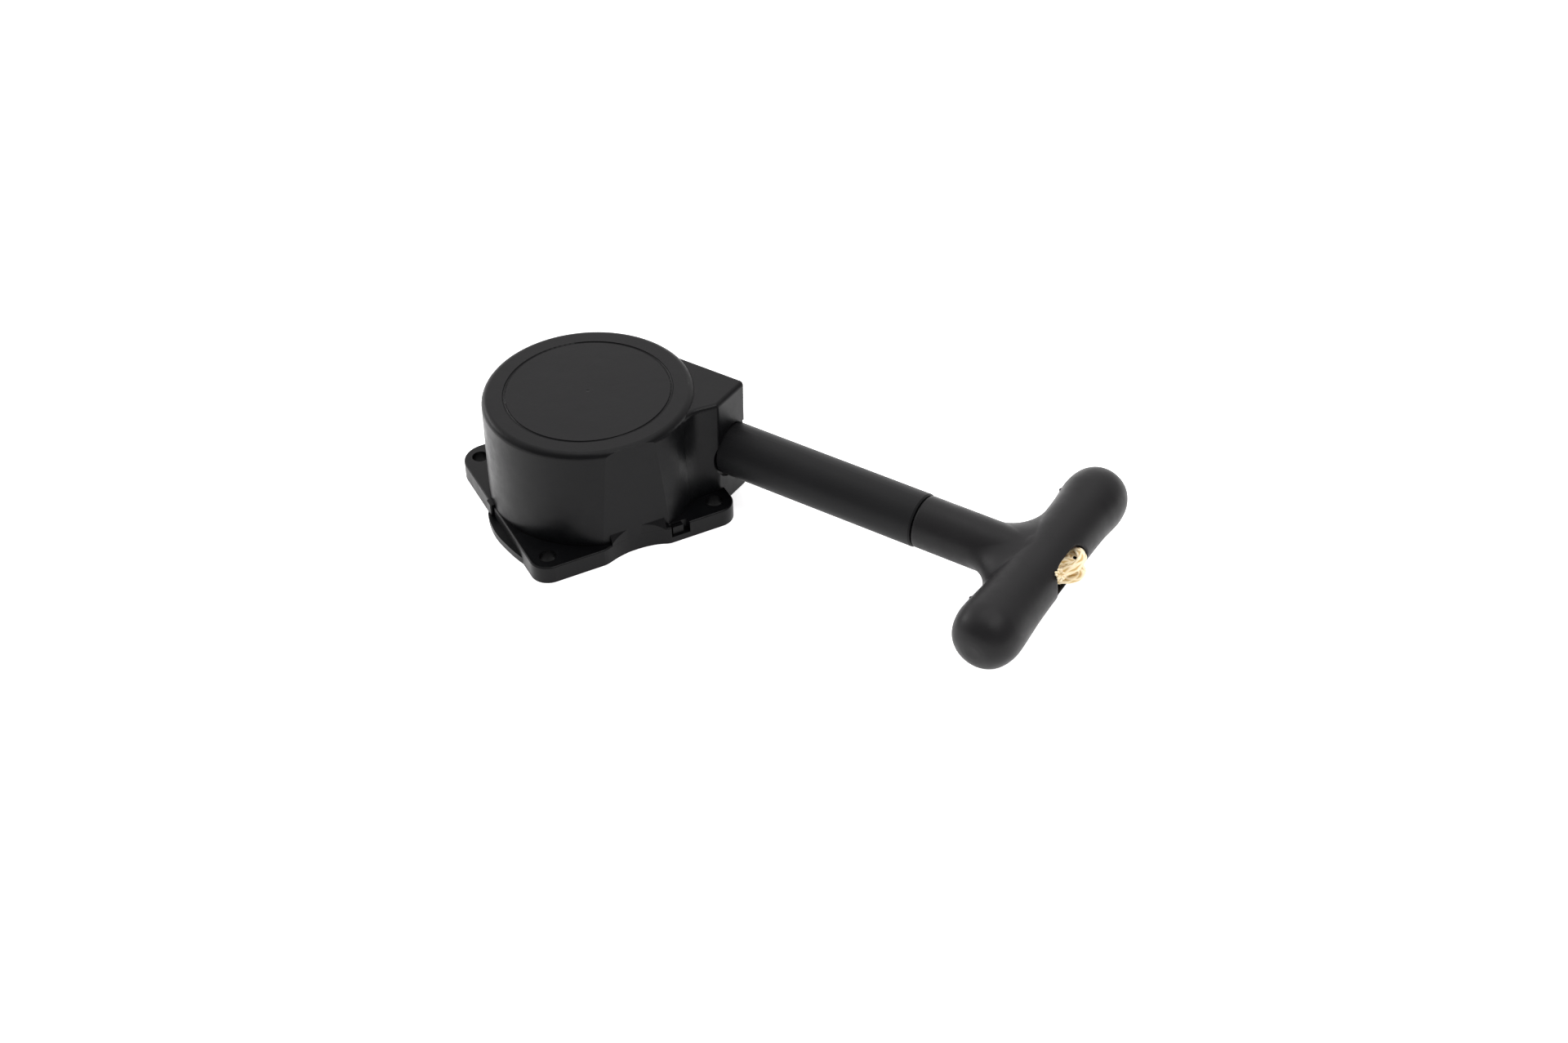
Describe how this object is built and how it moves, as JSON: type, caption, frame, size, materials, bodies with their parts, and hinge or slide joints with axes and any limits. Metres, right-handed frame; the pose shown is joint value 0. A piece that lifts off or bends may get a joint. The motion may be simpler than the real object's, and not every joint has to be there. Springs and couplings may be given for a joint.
{
  "type": "recoil starter",
  "caption": "Pull starter for a small engine: round drum housing with ears, rope outlet boss, guide tube and T-handle, with spring, reel and pawls inside.",
  "frame": {"origin": "on the drum axis in the mounting plane, which is the underside of the four ears", "axes": "+Z along the drum axis, away from the engine; +X along the guide tube, from the drum towards the T-handle"},
  "size_m": [0.19, 0.1038, 0.038],
  "materials": {
    "housing_plastic": "black glass-filled nylon, fine moulded texture, satin",
    "tube_plastic": "black extruded plastic tube, satin",
    "handle_plastic": "black moulded plastic, soft satin",
    "reel_plastic": "dark moulded nylon, satin",
    "bush_plastic": "natural acetal, smooth",
    "rope_fibre": "cream braided nylon starter rope",
    "spring_steel": "blued spring steel strip and wire",
    "case_steel": "zinc-plated pressed sheet steel",
    "zinc_steel": "zinc-plated steel",
    "turned_steel": "turned and ground steel",
    "pawl_steel": "sintered steel, lightly oiled"
  },
  "bodies": {
    "starter_body": {"starter_housing": "housing_plastic", "guide_tube": "tube_plastic", "rope_exit_bush": "bush_plastic", "center_post": "turned_steel", "center_screw": "zinc_steel", "spring_washer": "spring_steel", "spring_case": "case_steel", "spring_cover": "case_steel", "spring_cover_screws": "zinc_steel", "recoil_spring": "spring_steel"},
    "reel": {"rope_reel": "reel_plastic", "rope_coil": "rope_fibre", "rope_anchor_knot": "rope_fibre", "pawl_pins": "turned_steel", "pawl_springs": "spring_steel"},
    "friction_plate": {"friction_plate": "zinc_steel"},
    "pawl_a": {"pawl_a": "pawl_steel"},
    "pawl_b": {"pawl_b": "pawl_steel"},
    "rope_lead": {"rope_run": "rope_fibre"},
    "handle": {"pull_handle": "handle_plastic", "rope_knot": "rope_fibre"}
  },
  "joints": [
    {"name": "handle_pull", "type": "slide", "parent": "starter_body", "child": "rope_lead", "axis": [1, 0, 0], "range_m": [0, 0.45], "stiffness_N_per_m": 20, "springref_m": -0.3, "deforming": ["rope_run"]},
    {"name": "handle_swivel", "type": "hinge", "parent": "rope_lead", "child": "handle", "pos_m": [0.1383, 0.022, 0.0167], "axis": [1, 0, 0], "continuous": true},
    {"name": "reel_spin", "type": "hinge", "parent": "starter_body", "child": "reel", "pos_m": [0, 0, 0.0163], "axis": [0, 0, 1], "range_deg": [-1300, 0], "deforming": ["recoil_spring"]},
    {"name": "friction_plate_turn", "type": "hinge", "parent": "reel", "child": "friction_plate", "pos_m": [0, 0, 0.0082], "axis": [0, 0, 1], "range_deg": [0, 20], "stiffness_Nm_per_rad": 0.001, "springref_deg": -5.73},
    {"name": "pawl_a_swing", "type": "hinge", "parent": "reel", "child": "pawl_a", "pos_m": [0.011, 0, 0.0105], "axis": [0, 0, 1], "range_deg": [0, 28.2]},
    {"name": "pawl_b_swing", "type": "hinge", "parent": "reel", "child": "pawl_b", "pos_m": [-0.011, 0, 0.0105], "axis": [0, 0, 1], "range_deg": [0, 28.2]}
  ],
  "couplings": [
    {"joint": "reel_spin", "follows": "handle_pull", "rad_per_m": -50.3},
    {"joint": "pawl_a_swing", "follows": "friction_plate_turn", "ratio": 1.4},
    {"joint": "pawl_b_swing", "follows": "friction_plate_turn", "ratio": 1.4}
  ]
}
